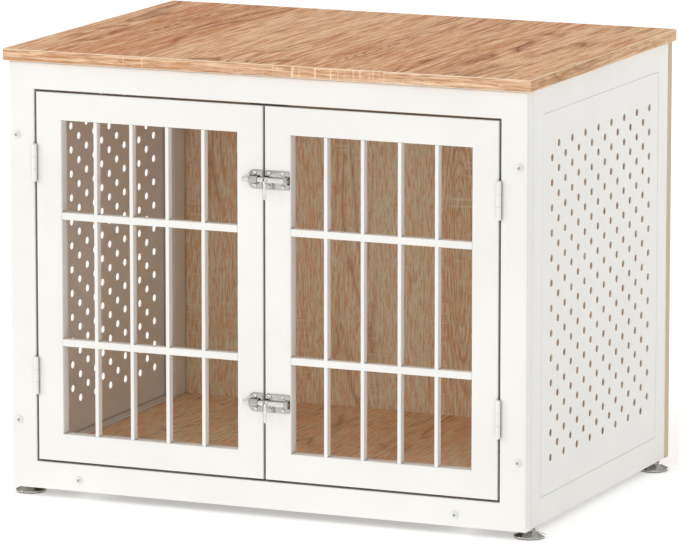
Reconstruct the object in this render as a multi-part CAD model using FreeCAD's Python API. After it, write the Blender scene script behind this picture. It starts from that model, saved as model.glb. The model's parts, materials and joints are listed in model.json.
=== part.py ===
import FreeCAD, Part

import math
import os

# Furniture-style dog crate: steel tube frames, two barred doors, perforated side sheets and wooden boards.
# Working frame: X to the right, Y from the front face into the depth, Z up from the underside of the
# frames. Every node is moved at the end, so that the origin is the bottom centre of the whole crate.
# All sizes are in millimetres.

# Square-cornered steel tube that all the frames are welded from
TUBE_FACE = 40.0
TUBE_DEPTH = 20.0
TUBE_WALL = 1.2
TUBE_CORNER = 1.5

# Overall sizes
FRAME_WIDTH = 808.0
FRAME_HEIGHT = 629.0
SIDE_LENGTH = 542.0
TOP_WIDTH = 822.0
TOP_OVERHANG = 6.0
TOP_THICKNESS = 17.5
BACK_THICKNESS = 16.0
FLOOR_THICKNESS = 12.0
FLOOR_TOP = 38.0
FLOOR_CLEARANCE = 0.5
FLOOR_FRONT = 23.0

# Doors
DOOR_GAP = 3.4
BAR_COUNT = 4
BAR_WIDTH = 5.5
BAR_DEPTH = 12.0
BAR_FRONT = 0.5
BAR_CORNER = 0.8
CROSS_BAR_HEIGHT = 10.5
CROSS_BAR_MIDDLES = (219.0, 405.5)
DOOR_STOP_WIDTH = 60.0
DOOR_STOP_OVERLAP = 12.0
DOOR_STOP_THICKNESS = 2.0

# Perforated side sheets
SHEET_THICKNESS = 1.2
SHEET_RECESS = 0.5
HOLE_RADIUS = 5.5
HOLE_COLUMNS = 16
HOLE_ROWS = 13
HOLE_COLUMN_PITCH = 26.0
HOLE_ROW_PITCH = 36.0
HOLE_FIRST_ROW = 90.7

# Floor bearers
BEARER_X = 296.0
BEARER_WIDTH = 30.0
BEARER_HEIGHT = 18.0
PLUG_LENGTH = 20.0

# Dome-head bolts through the front frame
BOLT_RADIUS = 3.0
BOLT_HEAD_RADIUS = 6.5
BOLT_HEAD_HEIGHT = 3.0
BOLT_SOCKET = 4.0
BOLT_SOCKET_DEPTH = 1.8
BOLT_REACH = 32.0
SIDE_BOLT_X = 392.0
SIDE_BOLT_HEIGHTS = (100.0, 521.0)
INSERT_RADIUS = 4.5
INSERT_LENGTH = 14.0

# Wood screws
SCREW_RADIUS = 2.2
SCREW_HEAD_RADIUS = 4.5
SCREW_HEAD_HEIGHT = 2.4
TOP_SCREW_COVER = 5.0
FLOOR_SCREW_REACH = 6.0
BACK_SCREW_INSET = 80.0
TOP_SCREW_INSET = 90.0
FLOOR_SCREW_INSET = 60.0

# Hinges
HINGE_HEIGHT = 54.5
HINGE_CENTRES = {"left": (168.0, 481.8), "right": (160.5, 473.3)}
HINGE_AXIS_Y = -3.3
KNUCKLE_RADIUS = 3.5
KNUCKLE_GAP = 0.3
PIN_RADIUS = 1.5
PIN_CLEARANCE = 0.05
PIN_HEAD_RADIUS = 2.3
PIN_HEAD_HEIGHT = 0.8
LEAF_THICKNESS = 1.2
LEAF_START = 1.2
LEAF_END = 17.0

# Slide bolts
LATCH_HEIGHTS = {"lower": 156.0, "upper": 480.0}
PLATE_THICKNESS = 1.2
PLATE_HALF_HEIGHT = 13.5
BODY_PLATE = (2.5, 40.5)
KEEPER_PLATE = (-24.0, -1.9)
KEEPER_CORNER = 9.0
BODY_CORNER = 2.0
ROD_RADIUS = 3.75
ROD_SPAN = (-31.0, 41.0)
ROD_AXIS_Y = -6.2
ROD_BEVEL = 0.8
ROD_CLEARANCE = 0.08
STRAP_THICKNESS = 1.5
BODY_STRAPS = ((2.5, 4.2), (34.5, 40.5))
KEEPER_STRAP = (-20.5, -6.8)
HANDLE_X = 7.0
HANDLE_RADIUS = 2.5
HANDLE_AXIS_Y = -12.5
HANDLE_DROP = 27.5
HANDLE_BEND = 4.5
HANDLE_TIP_ROUND = 1.2
HANDLE_COLLAR_RADIUS = 4.7
HANDLE_COLLAR_BORE = 3.81
LATCH_SCREW_DZ = 9.4
BODY_SCREWS_X = (9.0, 30.0)
KEEPER_SCREW_X = -13.0
LATCH_SCREW_RADIUS = 1.5
LATCH_SCREW_HEAD_RADIUS = 2.9
LATCH_SCREW_HEAD_HEIGHT = 1.5
LATCH_SCREW_REACH = 8.0

# Levelling feet
FOOT_DROP = 15.0
FOOT_RADIUS = 22.5
FOOT_SHOULDER_Z = -10.5
FOOT_ROUND = 2.0
FOOT_BEVEL = 1.0
COLLAR_RADIUS = 9.5
COLLAR_BOTTOM = -4.0
COLLAR_TOP = -1.5
STUD_RADIUS = 4.0
STUD_TOP = 26.0
STUD_CLEARANCE = 0.05
NUT_RADIUS = 6.0
NUT_TOP = 16.0
NUT_FLANGE_RADIUS = 8.0
NUT_FLANGE_HEIGHT = 1.2

# Cutters run past the faces they open by this much
OVERCUT = 1.0
SAME = 1e-6

# Worked-out places
SIDE_FRONT = TUBE_DEPTH
SIDE_BACK = SIDE_FRONT + SIDE_LENGTH
BACK_FACE = SIDE_BACK + BACK_THICKNESS
HALF_WIDTH = FRAME_WIDTH / 2
SIDE_INNER_X = HALF_WIDTH - TUBE_DEPTH
SIDE_MIDDLE_X = HALF_WIDTH - TUBE_DEPTH / 2
SIDE_MIDDLE_Y = (SIDE_FRONT + SIDE_BACK) / 2
DOOR_OUTER_X = HALF_WIDTH - TUBE_FACE - DOOR_GAP
DOOR_INNER_X = DOOR_GAP / 2
DOOR_BOTTOM = TUBE_FACE + DOOR_GAP
DOOR_TOP = FRAME_HEIGHT - TUBE_FACE - DOOR_GAP
HINGE_X = DOOR_OUTER_X + DOOR_GAP / 2
BEARER_TOP = FLOOR_TOP - FLOOR_THICKNESS
BEARER_MIDDLE = BEARER_TOP - BEARER_HEIGHT / 2
FOOT_YS = (SIDE_FRONT + TUBE_FACE / 2, SIDE_BACK - TUBE_FACE / 2)
BACK_SCREW_HEIGHTS = (BACK_SCREW_INSET, FRAME_HEIGHT / 2, FRAME_HEIGHT - BACK_SCREW_INSET)
TOP_SCREW_YS = (SIDE_FRONT + TOP_SCREW_INSET, SIDE_MIDDLE_Y, SIDE_BACK - TOP_SCREW_INSET)
FLOOR_SCREW_YS = (SIDE_FRONT + FLOOR_SCREW_INSET, SIDE_MIDDLE_Y, SIDE_BACK - FLOOR_SCREW_INSET)
FRONT_MOST = HANDLE_AXIS_Y - HANDLE_RADIUS
ORIGIN_SHIFT = FreeCAD.Vector(0, -(FRONT_MOST + BACK_FACE) / 2, FOOT_DROP)

X_AXIS = FreeCAD.Vector(1, 0, 0)
Y_AXIS = FreeCAD.Vector(0, 1, 0)
Z_AXIS = FreeCAD.Vector(0, 0, 1)


def box(x_range, y_range, z_range):
    """A block between pairs of limits."""
    x0, x1 = sorted(x_range)
    y0, y1 = sorted(y_range)
    z0, z1 = sorted(z_range)
    return Part.makeBox(x1 - x0, y1 - y0, z1 - z0, FreeCAD.Vector(x0, y0, z0))


def rod(radius, start, end):
    """A cylinder from one point to another."""
    start = FreeCAD.Vector(*start)
    run = FreeCAD.Vector(*end) - start
    return Part.makeCylinder(radius, run.Length, start, run)


def mirror_x(shape):
    """The same shape on the other side of the middle plane."""
    return shape.mirror(FreeCAD.Vector(0, 0, 0), X_AXIS)


def rounded_bar(length, width, depth, corner):
    """A bar along X, from the origin, with its four long edges rounded."""
    bar = Part.makeBox(length, width, depth)
    long_edges = [edge for edge in bar.Edges
                  if abs(edge.Length - length) < SAME and abs(edge.tangentAt(0).x) > 0.5]
    return bar.makeFillet(corner, long_edges)


def hollow_bar(length, width, depth, wall, corner):
    """A tube along X with square ends."""
    outer = rounded_bar(length, width, depth, corner)
    inner = Part.makeBox(length, width - 2 * wall, depth - 2 * wall, FreeCAD.Vector(0, wall, wall))
    return outer.cut(inner)


def mitred_tube(length):
    """A frame tube along X, outer edge on Y = 0, with both ends cut at 45 degrees."""
    tube = hollow_bar(length, TUBE_FACE, TUBE_DEPTH, TUBE_WALL, TUBE_CORNER)
    corners = [(0, 0), (length, 0), (length - TUBE_FACE, TUBE_FACE), (TUBE_FACE, TUBE_FACE), (0, 0)]
    outline = Part.makePolygon([FreeCAD.Vector(x, y, 0) for x, y in corners])
    trapezium = Part.Face(outline).extrude(FreeCAD.Vector(0, 0, TUBE_DEPTH))
    return tube.common(trapezium).Solids[0]


def frame_tubes(x_range, z_range):
    """The four mitred tubes of a frame that stands in the XZ plane, from Y = 0 back to the tube's depth."""
    width = x_range[1] - x_range[0]
    height = z_range[1] - z_range[0]
    middle = ((x_range[0] + x_range[1]) / 2, (z_range[0] + z_range[1]) / 2)
    tubes = {}
    for name, turn, length, reach in (("bottom", 0, width, height), ("right", 90, height, width),
                                      ("top", 180, width, height), ("left", 270, height, width)):
        tube = mitred_tube(length)
        tube.translate(FreeCAD.Vector(-length / 2, -reach / 2, 0))
        tube.rotate(FreeCAD.Vector(0, 0, 0), Z_AXIS, turn)
        tube.rotate(FreeCAD.Vector(0, 0, 0), X_AXIS, 90)
        tube.translate(FreeCAD.Vector(middle[0], TUBE_DEPTH, middle[1]))
        tubes[name] = tube
    return tubes


def drill(shape, holes):
    """The shape less every cutter in the list."""
    return shape.cut(Part.makeCompound(holes)) if holes else shape


# Front frame ---------------------------------------------------------------------------------------


def front_bolt_places():
    """X and Z of the six dome-head bolts."""
    places = [(side * SIDE_BOLT_X, height) for side in (-1, 1) for height in SIDE_BOLT_HEIGHTS]
    return places + [(side * BEARER_X, BEARER_MIDDLE) for side in (-1, 1)]


def front_bolt(x, z):
    """A dome-head bolt with a hexagon socket, pointing into the crate."""
    sphere_radius = (BOLT_HEAD_RADIUS ** 2 + BOLT_HEAD_HEIGHT ** 2) / (2 * BOLT_HEAD_HEIGHT)
    dome = Part.makeSphere(sphere_radius, FreeCAD.Vector(x, sphere_radius - BOLT_HEAD_HEIGHT, z))
    head = dome.common(rod(BOLT_HEAD_RADIUS, (x, -BOLT_HEAD_HEIGHT, z), (x, 0, z)))
    shank = rod(BOLT_RADIUS, (x, 0, z), (x, BOLT_REACH, z))
    corner = BOLT_SOCKET / math.sqrt(3)
    points = []
    for step in range(7):
        angle = math.radians(60 * step)
        points.append(FreeCAD.Vector(x + corner * math.cos(angle), -BOLT_HEAD_HEIGHT,
                                     z + corner * math.sin(angle)))
    socket = Part.Face(Part.makePolygon(points)).extrude(FreeCAD.Vector(0, BOLT_SOCKET_DEPTH, 0))
    return head.fuse(shank).removeSplitter().cut(socket).Solids[0]


def bolt_hole(x, z, start, end, radius=BOLT_RADIUS):
    return rod(radius, (x, start, z), (x, end, z))


def front_frame():
    """Stiles and rails of the front frame, drilled for its bolts."""
    tubes = frame_tubes((-HALF_WIDTH, HALF_WIDTH), (0, FRAME_HEIGHT))
    holes = [bolt_hole(x, z, -OVERCUT, TUBE_DEPTH + OVERCUT) for x, z in front_bolt_places()]
    drilled = {name: drill(tube, holes).Solids[0] for name, tube in tubes.items()}
    return [drilled["left"], drilled["right"]], [drilled["bottom"], drilled["top"]]


def threaded_insert(x, z):
    """The insert in a side post that takes a front bolt."""
    start = SIDE_FRONT
    body = bolt_hole(x, z, start, start + INSERT_LENGTH, INSERT_RADIUS)
    return body.cut(bolt_hole(x, z, start - OVERCUT, start + INSERT_LENGTH + OVERCUT))


def door_stops():
    """Two flat tabs behind the front frame that the closed doors rest against."""
    width = (-DOOR_STOP_WIDTH / 2, DOOR_STOP_WIDTH / 2)
    depth = (TUBE_DEPTH, TUBE_DEPTH + DOOR_STOP_THICKNESS)
    reach = DOOR_GAP + DOOR_STOP_OVERLAP
    low = box(width, depth, (TUBE_FACE / 2, TUBE_FACE + reach))
    high_edge = FRAME_HEIGHT - TUBE_FACE
    high = box(width, depth, (high_edge - reach, high_edge + TUBE_FACE / 2))
    return [low, high]


# Side frames ---------------------------------------------------------------------------------------


def foot_places():
    """X and Y of the four levelling feet."""
    return [(side * SIDE_MIDDLE_X, y) for side in (-1, 1) for y in FOOT_YS]


def right_side_frame():
    """Posts and rails of the right-hand side frame, drilled for bolts, screws and feet."""
    tubes = frame_tubes((-SIDE_LENGTH / 2, SIDE_LENGTH / 2), (0, FRAME_HEIGHT))
    holes = [bolt_hole(SIDE_BOLT_X, z, SIDE_FRONT - OVERCUT, SIDE_FRONT + TUBE_WALL + OVERCUT, INSERT_RADIUS)
             for z in SIDE_BOLT_HEIGHTS]
    holes += [bolt_hole(SIDE_MIDDLE_X, z, SIDE_BACK - TUBE_WALL - OVERCUT, SIDE_BACK + OVERCUT, SCREW_RADIUS)
              for z in BACK_SCREW_HEIGHTS]
    holes += [rod(SCREW_RADIUS, (SIDE_MIDDLE_X, y, FRAME_HEIGHT - TUBE_FACE - OVERCUT),
                  (SIDE_MIDDLE_X, y, FRAME_HEIGHT + OVERCUT)) for y in TOP_SCREW_YS]
    holes += [rod(NUT_RADIUS, (SIDE_MIDDLE_X, y, -OVERCUT), (SIDE_MIDDLE_X, y, TUBE_WALL + OVERCUT))
              for y in FOOT_YS]
    placed = {}
    for name, tube in tubes.items():
        tube.rotate(FreeCAD.Vector(0, 0, 0), Z_AXIS, 90)
        tube.translate(FreeCAD.Vector(HALF_WIDTH, SIDE_MIDDLE_Y, 0))
        placed[name] = drill(tube, holes).Solids[0]
    return [placed["left"], placed["right"]], [placed["bottom"], placed["top"]]


def side_sheet():
    """The right-hand perforated sheet: staggered columns of round holes."""
    outer_x = HALF_WIDTH - SHEET_RECESS
    inner_x = outer_x - SHEET_THICKNESS
    sheet = box((inner_x, outer_x), (SIDE_FRONT + TUBE_FACE, SIDE_BACK - TUBE_FACE),
                (TUBE_FACE, FRAME_HEIGHT - TUBE_FACE))
    holes = []
    for column in range(HOLE_COLUMNS):
        y = SIDE_MIDDLE_Y + HOLE_COLUMN_PITCH * (column - (HOLE_COLUMNS - 1) / 2)
        stagger = HOLE_ROW_PITCH / 2 if column % 2 else 0
        for row in range(HOLE_ROWS):
            z = HOLE_FIRST_ROW + HOLE_ROW_PITCH * row + stagger
            holes.append(rod(HOLE_RADIUS, (inner_x - OVERCUT, y, z), (outer_x + OVERCUT, y, z)))
    return sheet.cut(Part.makeCompound(holes)).Solids[0]


def turn_to_left(shape):
    """The left side is the right side turned half a turn about the crate's middle."""
    turned = shape.copy()
    turned.rotate(FreeCAD.Vector(0, SIDE_MIDDLE_Y, 0), Z_AXIS, 180)
    return turned


# Boards and bearers --------------------------------------------------------------------------------


def top_board():
    """The top, with blind pilot holes for the screws from below."""
    board = box((-TOP_WIDTH / 2, TOP_WIDTH / 2), (-TOP_OVERHANG, BACK_FACE),
                (FRAME_HEIGHT, FRAME_HEIGHT + TOP_THICKNESS))
    holes = [rod(SCREW_RADIUS, (side * SIDE_MIDDLE_X, y, FRAME_HEIGHT - OVERCUT),
                 (side * SIDE_MIDDLE_X, y, FRAME_HEIGHT + TOP_THICKNESS - TOP_SCREW_COVER))
             for side in (-1, 1) for y in TOP_SCREW_YS]
    return drill(board, holes).Solids[0]


def top_screw(x, y):
    """A long pan-head screw up through the side frame's top rail."""
    underside = FRAME_HEIGHT - TUBE_FACE
    shank = rod(SCREW_RADIUS, (x, y, underside), (x, y, FRAME_HEIGHT + TOP_THICKNESS - TOP_SCREW_COVER))
    head = rod(SCREW_HEAD_RADIUS, (x, y, underside - SCREW_HEAD_HEIGHT), (x, y, underside))
    return head.fuse(shank).removeSplitter().Solids[0]


def countersunk_screw(tip, mouth):
    """A screw whose conical head is flush with the face that holds its mouth point."""
    tip = FreeCAD.Vector(*tip)
    mouth = FreeCAD.Vector(*mouth)
    inward = tip - mouth
    head = Part.makeCone(SCREW_HEAD_RADIUS, SCREW_RADIUS, SCREW_HEAD_HEIGHT, mouth, inward)
    shank = Part.makeCylinder(SCREW_RADIUS, inward.Length, mouth, inward)
    return head.fuse(shank).removeSplitter().Solids[0]


def back_screws():
    """Screws through the back board into the rear posts and the bearers' plugs."""
    places = [(side * SIDE_MIDDLE_X, z) for side in (-1, 1) for z in BACK_SCREW_HEIGHTS]
    places += [(side * BEARER_X, BEARER_MIDDLE) for side in (-1, 1)]
    return [countersunk_screw((x, SIDE_BACK - PLUG_LENGTH / 2, z), (x, BACK_FACE, z)) for x, z in places]


def back_board():
    board = box((-HALF_WIDTH, HALF_WIDTH), (SIDE_BACK, BACK_FACE), (0, FRAME_HEIGHT))
    return drill(board, back_screws()).Solids[0]


def floor_screws():
    """Countersunk screws down through the floor into the bearers."""
    tip_z = BEARER_TOP - FLOOR_SCREW_REACH
    return [countersunk_screw((side * BEARER_X, y, tip_z), (side * BEARER_X, y, FLOOR_TOP))
            for side in (-1, 1) for y in FLOOR_SCREW_YS]


def floor_board():
    edge = SIDE_INNER_X - FLOOR_CLEARANCE
    board = box((-edge, edge), (FLOOR_FRONT, SIDE_BACK - FLOOR_CLEARANCE), (BEARER_TOP, FLOOR_TOP))
    return drill(board, floor_screws()).Solids[0]


def bearer(side):
    """A hollow bearer under the floor, from the front frame to the back board."""
    tube = hollow_bar(SIDE_LENGTH, BEARER_WIDTH, BEARER_HEIGHT, TUBE_WALL, TUBE_CORNER)
    tube.rotate(FreeCAD.Vector(0, 0, 0), Z_AXIS, 90)
    tube.translate(FreeCAD.Vector(side * BEARER_X + BEARER_WIDTH / 2, SIDE_FRONT, BEARER_TOP - BEARER_HEIGHT))
    return drill(tube, floor_screws()).Solids[0]


def bearer_plugs(side):
    """The solid plugs in a bearer's two ends, bored for the bolt and for the screw."""
    width = BEARER_WIDTH / 2 - TUBE_WALL
    height = BEARER_HEIGHT / 2 - TUBE_WALL
    x = side * BEARER_X
    plugs = []
    for start, end, radius in ((SIDE_FRONT, SIDE_FRONT + PLUG_LENGTH, BOLT_RADIUS),
                               (SIDE_BACK - PLUG_LENGTH, SIDE_BACK, SCREW_RADIUS)):
        plug = box((x - width, x + width), (start, end), (BEARER_MIDDLE - height, BEARER_MIDDLE + height))
        plugs.append(plug.cut(bolt_hole(x, BEARER_MIDDLE, start - OVERCUT, end + OVERCUT, radius)))
    return plugs


# Hinges --------------------------------------------------------------------------------------------


def hinge_parts(centre_z):
    """Frame leaf, door leaf and pin of a right-hand hinge, from its middle height."""
    low = centre_z - HINGE_HEIGHT / 2
    third = HINGE_HEIGHT / 3
    levels = [(low, low + third), (low + third + KNUCKLE_GAP, low + 2 * third - KNUCKLE_GAP),
              (low + 2 * third, low + HINGE_HEIGHT)]

    def upright(radius, start, end):
        return rod(radius, (HINGE_X, HINGE_AXIS_Y, start), (HINGE_X, HINGE_AXIS_Y, end))

    def leaf(edge_x, inward, own_levels, bore):
        x_range = (edge_x, edge_x + inward * LEAF_THICKNESS)
        shape = box(x_range, (LEAF_START, LEAF_END), (low, low + HINGE_HEIGHT))
        for level in own_levels:
            tongue = box(x_range, (HINGE_AXIS_Y, LEAF_START), level)
            hollow = upright(bore, level[0] - OVERCUT, level[1] + OVERCUT)
            knuckle = upright(KNUCKLE_RADIUS, *level).cut(hollow)
            shape = shape.fuse(tongue.cut(hollow)).fuse(knuckle)
        return shape.removeSplitter().Solids[0]

    frame_leaf = leaf(HINGE_X + DOOR_GAP / 2, -1, (levels[0], levels[2]), PIN_RADIUS)
    door_leaf = leaf(HINGE_X - DOOR_GAP / 2, 1, (levels[1],), PIN_RADIUS + PIN_CLEARANCE)
    high = low + HINGE_HEIGHT
    pin = upright(PIN_RADIUS, low, high)
    for start, end in ((low - PIN_HEAD_HEIGHT, low), (high, high + PIN_HEAD_HEIGHT)):
        pin = pin.fuse(upright(PIN_HEAD_RADIUS, start, end))
    return frame_leaf, door_leaf, pin.removeSplitter().Solids[0]


# Doors ---------------------------------------------------------------------------------------------


def latch_screw_places(side):
    """X and Z of the latch screws on one door: the right door has the bolts, the left door the keepers."""
    columns = BODY_SCREWS_X if side == "right" else (KEEPER_SCREW_X,)
    return [(x, height + dz) for height in LATCH_HEIGHTS.values() for x in columns
            for dz in (-LATCH_SCREW_DZ, LATCH_SCREW_DZ)]


def door_tubes(side):
    """Stiles and rails of one door."""
    x_range = (DOOR_INNER_X, DOOR_OUTER_X) if side == "right" else (-DOOR_OUTER_X, -DOOR_INNER_X)
    tubes = frame_tubes(x_range, (DOOR_BOTTOM, DOOR_TOP))
    holes = [bolt_hole(x, z, -OVERCUT, TUBE_WALL + OVERCUT, LATCH_SCREW_RADIUS)
             for x, z in latch_screw_places(side)]
    stiles = [drill(tubes[name], holes).Solids[0] for name in ("left", "right")]
    return stiles, [tubes["bottom"], tubes["top"]]


def right_door_grille():
    """The welded grid of flat upright and cross bars that fills the right door's frame."""
    x0 = DOOR_INNER_X + TUBE_FACE
    x1 = DOOR_OUTER_X - TUBE_FACE
    z0 = DOOR_BOTTOM + TUBE_FACE
    z1 = DOOR_TOP - TUBE_FACE
    clear = (x1 - x0 - BAR_COUNT * BAR_WIDTH) / (BAR_COUNT + 1)
    upright = rounded_bar(z1 - z0, BAR_DEPTH, BAR_WIDTH, BAR_CORNER)
    upright.rotate(FreeCAD.Vector(0, 0, 0), Y_AXIS, -90)
    cross = rounded_bar(x1 - x0, BAR_DEPTH, CROSS_BAR_HEIGHT, BAR_CORNER)
    bars = []
    for index in range(BAR_COUNT):
        right_edge = x0 + (index + 1) * (clear + BAR_WIDTH)
        bars.append(upright.translated(FreeCAD.Vector(right_edge, BAR_FRONT, z0)))
    for middle in CROSS_BAR_MIDDLES:
        bars.append(cross.translated(FreeCAD.Vector(x0, BAR_FRONT, middle - CROSS_BAR_HEIGHT / 2)))
    return bars[0].multiFuse(bars[1:]).removeSplitter().Solids[0]


# Slide bolts ---------------------------------------------------------------------------------------


def strap(x_range, height):
    """A bridge over the rod, open towards the door."""
    inner = ROD_RADIUS + ROD_CLEARANCE
    outer = inner + STRAP_THICKNESS
    arch = rod(outer, (x_range[0], ROD_AXIS_Y, height), (x_range[1], ROD_AXIS_Y, height))
    legs = box(x_range, (ROD_AXIS_Y, -PLATE_THICKNESS), (height - outer, height + outer))
    opened = (x_range[0] - OVERCUT, x_range[1] + OVERCUT)
    hollow = rod(inner, (opened[0], ROD_AXIS_Y, height), (opened[1], ROD_AXIS_Y, height))
    hollow_legs = box(opened, (ROD_AXIS_Y, -PLATE_THICKNESS), (height - inner, height + inner))
    return arch.fuse(legs).cut(hollow.fuse(hollow_legs))


def latch_plate(x_range, height, corners, corner_radius):
    """A mounting plate on the door's face; corners lists the X of the edges with rounded corners."""
    plate = box(x_range, (-PLATE_THICKNESS, 0), (height - PLATE_HALF_HEIGHT, height + PLATE_HALF_HEIGHT))
    edges = [edge for edge in plate.Edges if abs(edge.tangentAt(0).y) > 0.5
             and min(abs(edge.CenterOfMass.x - x) for x in corners) < SAME]
    return plate.makeFillet(corner_radius, edges)


def latch_body(height):
    """The stamped body on the right door: a plate with two straps."""
    holes = [bolt_hole(x, height + dz, -PLATE_THICKNESS - OVERCUT, OVERCUT, LATCH_SCREW_RADIUS)
             for x in BODY_SCREWS_X for dz in (-LATCH_SCREW_DZ, LATCH_SCREW_DZ)]
    shape = latch_plate(BODY_PLATE, height, BODY_PLATE, BODY_CORNER)
    for x_range in BODY_STRAPS:
        shape = shape.fuse(strap(x_range, height))
    return drill(shape.removeSplitter(), holes).Solids[0]


def latch_keeper(height):
    """The keeper on the left door: a round-cornered plate with one wide strap."""
    holes = [bolt_hole(KEEPER_SCREW_X, height + dz, -PLATE_THICKNESS - OVERCUT, OVERCUT, LATCH_SCREW_RADIUS)
             for dz in (-LATCH_SCREW_DZ, LATCH_SCREW_DZ)]
    shape = latch_plate(KEEPER_PLATE, height, KEEPER_PLATE[:1], KEEPER_CORNER)
    shape = shape.fuse(strap(KEEPER_STRAP, height)).removeSplitter()
    return drill(shape, holes).Solids[0]


def latch_rod(height):
    """The plain sliding rod with bevelled ends."""
    body = rod(ROD_RADIUS, (ROD_SPAN[0], ROD_AXIS_Y, height), (ROD_SPAN[1], ROD_AXIS_Y, height))
    ends = [edge for edge in body.Edges if abs(edge.Length - 2 * math.pi * ROD_RADIUS) < SAME]
    return body.makeChamfer(ROD_BEVEL, ends).Solids[0]


def latch_handle(height):
    """A collar around the rod and a round handle that bends out of it and hangs down."""
    bend_y = HANDLE_AXIS_Y + HANDLE_BEND
    bend_z = height - HANDLE_BEND
    bottom = height - HANDLE_DROP
    collar_x = (HANDLE_X - HANDLE_RADIUS, HANDLE_X + HANDLE_RADIUS)
    collar = rod(HANDLE_COLLAR_RADIUS, (collar_x[0], ROD_AXIS_Y, height), (collar_x[1], ROD_AXIS_Y, height))
    elbow = Part.makeTorus(HANDLE_BEND, HANDLE_RADIUS, FreeCAD.Vector(HANDLE_X, bend_y, bend_z), X_AXIS)
    reach = HANDLE_BEND + HANDLE_RADIUS + OVERCUT
    quarter = box((HANDLE_X - reach, HANDLE_X + reach), (bend_y - reach, bend_y), (bend_z, bend_z + reach))
    stem = rod(HANDLE_RADIUS, (HANDLE_X, HANDLE_AXIS_Y, bend_z), (HANDLE_X, HANDLE_AXIS_Y, bottom))
    tip = [edge for edge in stem.Edges if abs(edge.CenterOfMass.z - bottom) < SAME
           and abs(edge.Length - 2 * math.pi * HANDLE_RADIUS) < SAME]
    stem = stem.makeFillet(HANDLE_TIP_ROUND, tip)
    bore = rod(HANDLE_COLLAR_BORE, (collar_x[0] - OVERCUT, ROD_AXIS_Y, height),
               (collar_x[1] + OVERCUT, ROD_AXIS_Y, height))
    return collar.fuse(elbow.common(quarter)).fuse(stem).cut(bore).removeSplitter().Solids[0]


def latch_screw(x, z):
    """A pan-head screw through a latch plate into the door's tube."""
    shank = rod(LATCH_SCREW_RADIUS, (x, -PLATE_THICKNESS, z), (x, LATCH_SCREW_REACH, z))
    head = rod(LATCH_SCREW_HEAD_RADIUS, (x, -PLATE_THICKNESS - LATCH_SCREW_HEAD_HEIGHT, z),
               (x, -PLATE_THICKNESS, z))
    return head.fuse(shank).removeSplitter().Solids[0]


# Levelling feet ------------------------------------------------------------------------------------


def foot(x, y):
    """A spun foot: rounded rim, cone, collar and threaded stud, turned about its own axis."""
    arc_middle = FOOT_ROUND * (1 - math.sqrt(0.5))
    bottom = -FOOT_DROP
    start = FreeCAD.Vector(0, 0, bottom)
    rim_low = FreeCAD.Vector(FOOT_RADIUS - FOOT_ROUND, 0, bottom)
    rim_mid = FreeCAD.Vector(FOOT_RADIUS - arc_middle, 0, bottom + arc_middle)
    rim_high = FreeCAD.Vector(FOOT_RADIUS, 0, bottom + FOOT_ROUND)
    shoulder = FreeCAD.Vector(FOOT_RADIUS, 0, FOOT_SHOULDER_Z - FOOT_BEVEL)
    outline = [rim_high, shoulder, FreeCAD.Vector(FOOT_RADIUS - FOOT_BEVEL, 0, FOOT_SHOULDER_Z),
               FreeCAD.Vector(COLLAR_RADIUS, 0, COLLAR_BOTTOM), FreeCAD.Vector(COLLAR_RADIUS, 0, COLLAR_TOP),
               FreeCAD.Vector(STUD_RADIUS, 0, COLLAR_TOP), FreeCAD.Vector(STUD_RADIUS, 0, STUD_TOP),
               FreeCAD.Vector(0, 0, STUD_TOP), start]
    edges = [Part.makeLine(start, rim_low), Part.Arc(rim_low, rim_mid, rim_high).toShape()]
    edges += [Part.makeLine(a, b) for a, b in zip(outline, outline[1:])]
    profile = Part.Face(Part.Wire(edges))
    shape = profile.revolve(FreeCAD.Vector(0, 0, 0), Z_AXIS, 360)
    shape.translate(FreeCAD.Vector(x, y, 0))
    return Part.makeSolid(shape.Shells[0])


def foot_nut(x, y):
    """The flanged rivet nut in the side frame's bottom rail that a foot screws into."""
    body = rod(NUT_RADIUS, (x, y, 0), (x, y, NUT_TOP))
    flange = rod(NUT_FLANGE_RADIUS, (x, y, -NUT_FLANGE_HEIGHT), (x, y, 0))
    bore = rod(STUD_RADIUS + STUD_CLEARANCE, (x, y, -NUT_FLANGE_HEIGHT - OVERCUT), (x, y, NUT_TOP + OVERCUT))
    return body.fuse(flange).removeSplitter().cut(bore).Solids[0]


# Assembly ------------------------------------------------------------------------------------------


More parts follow.
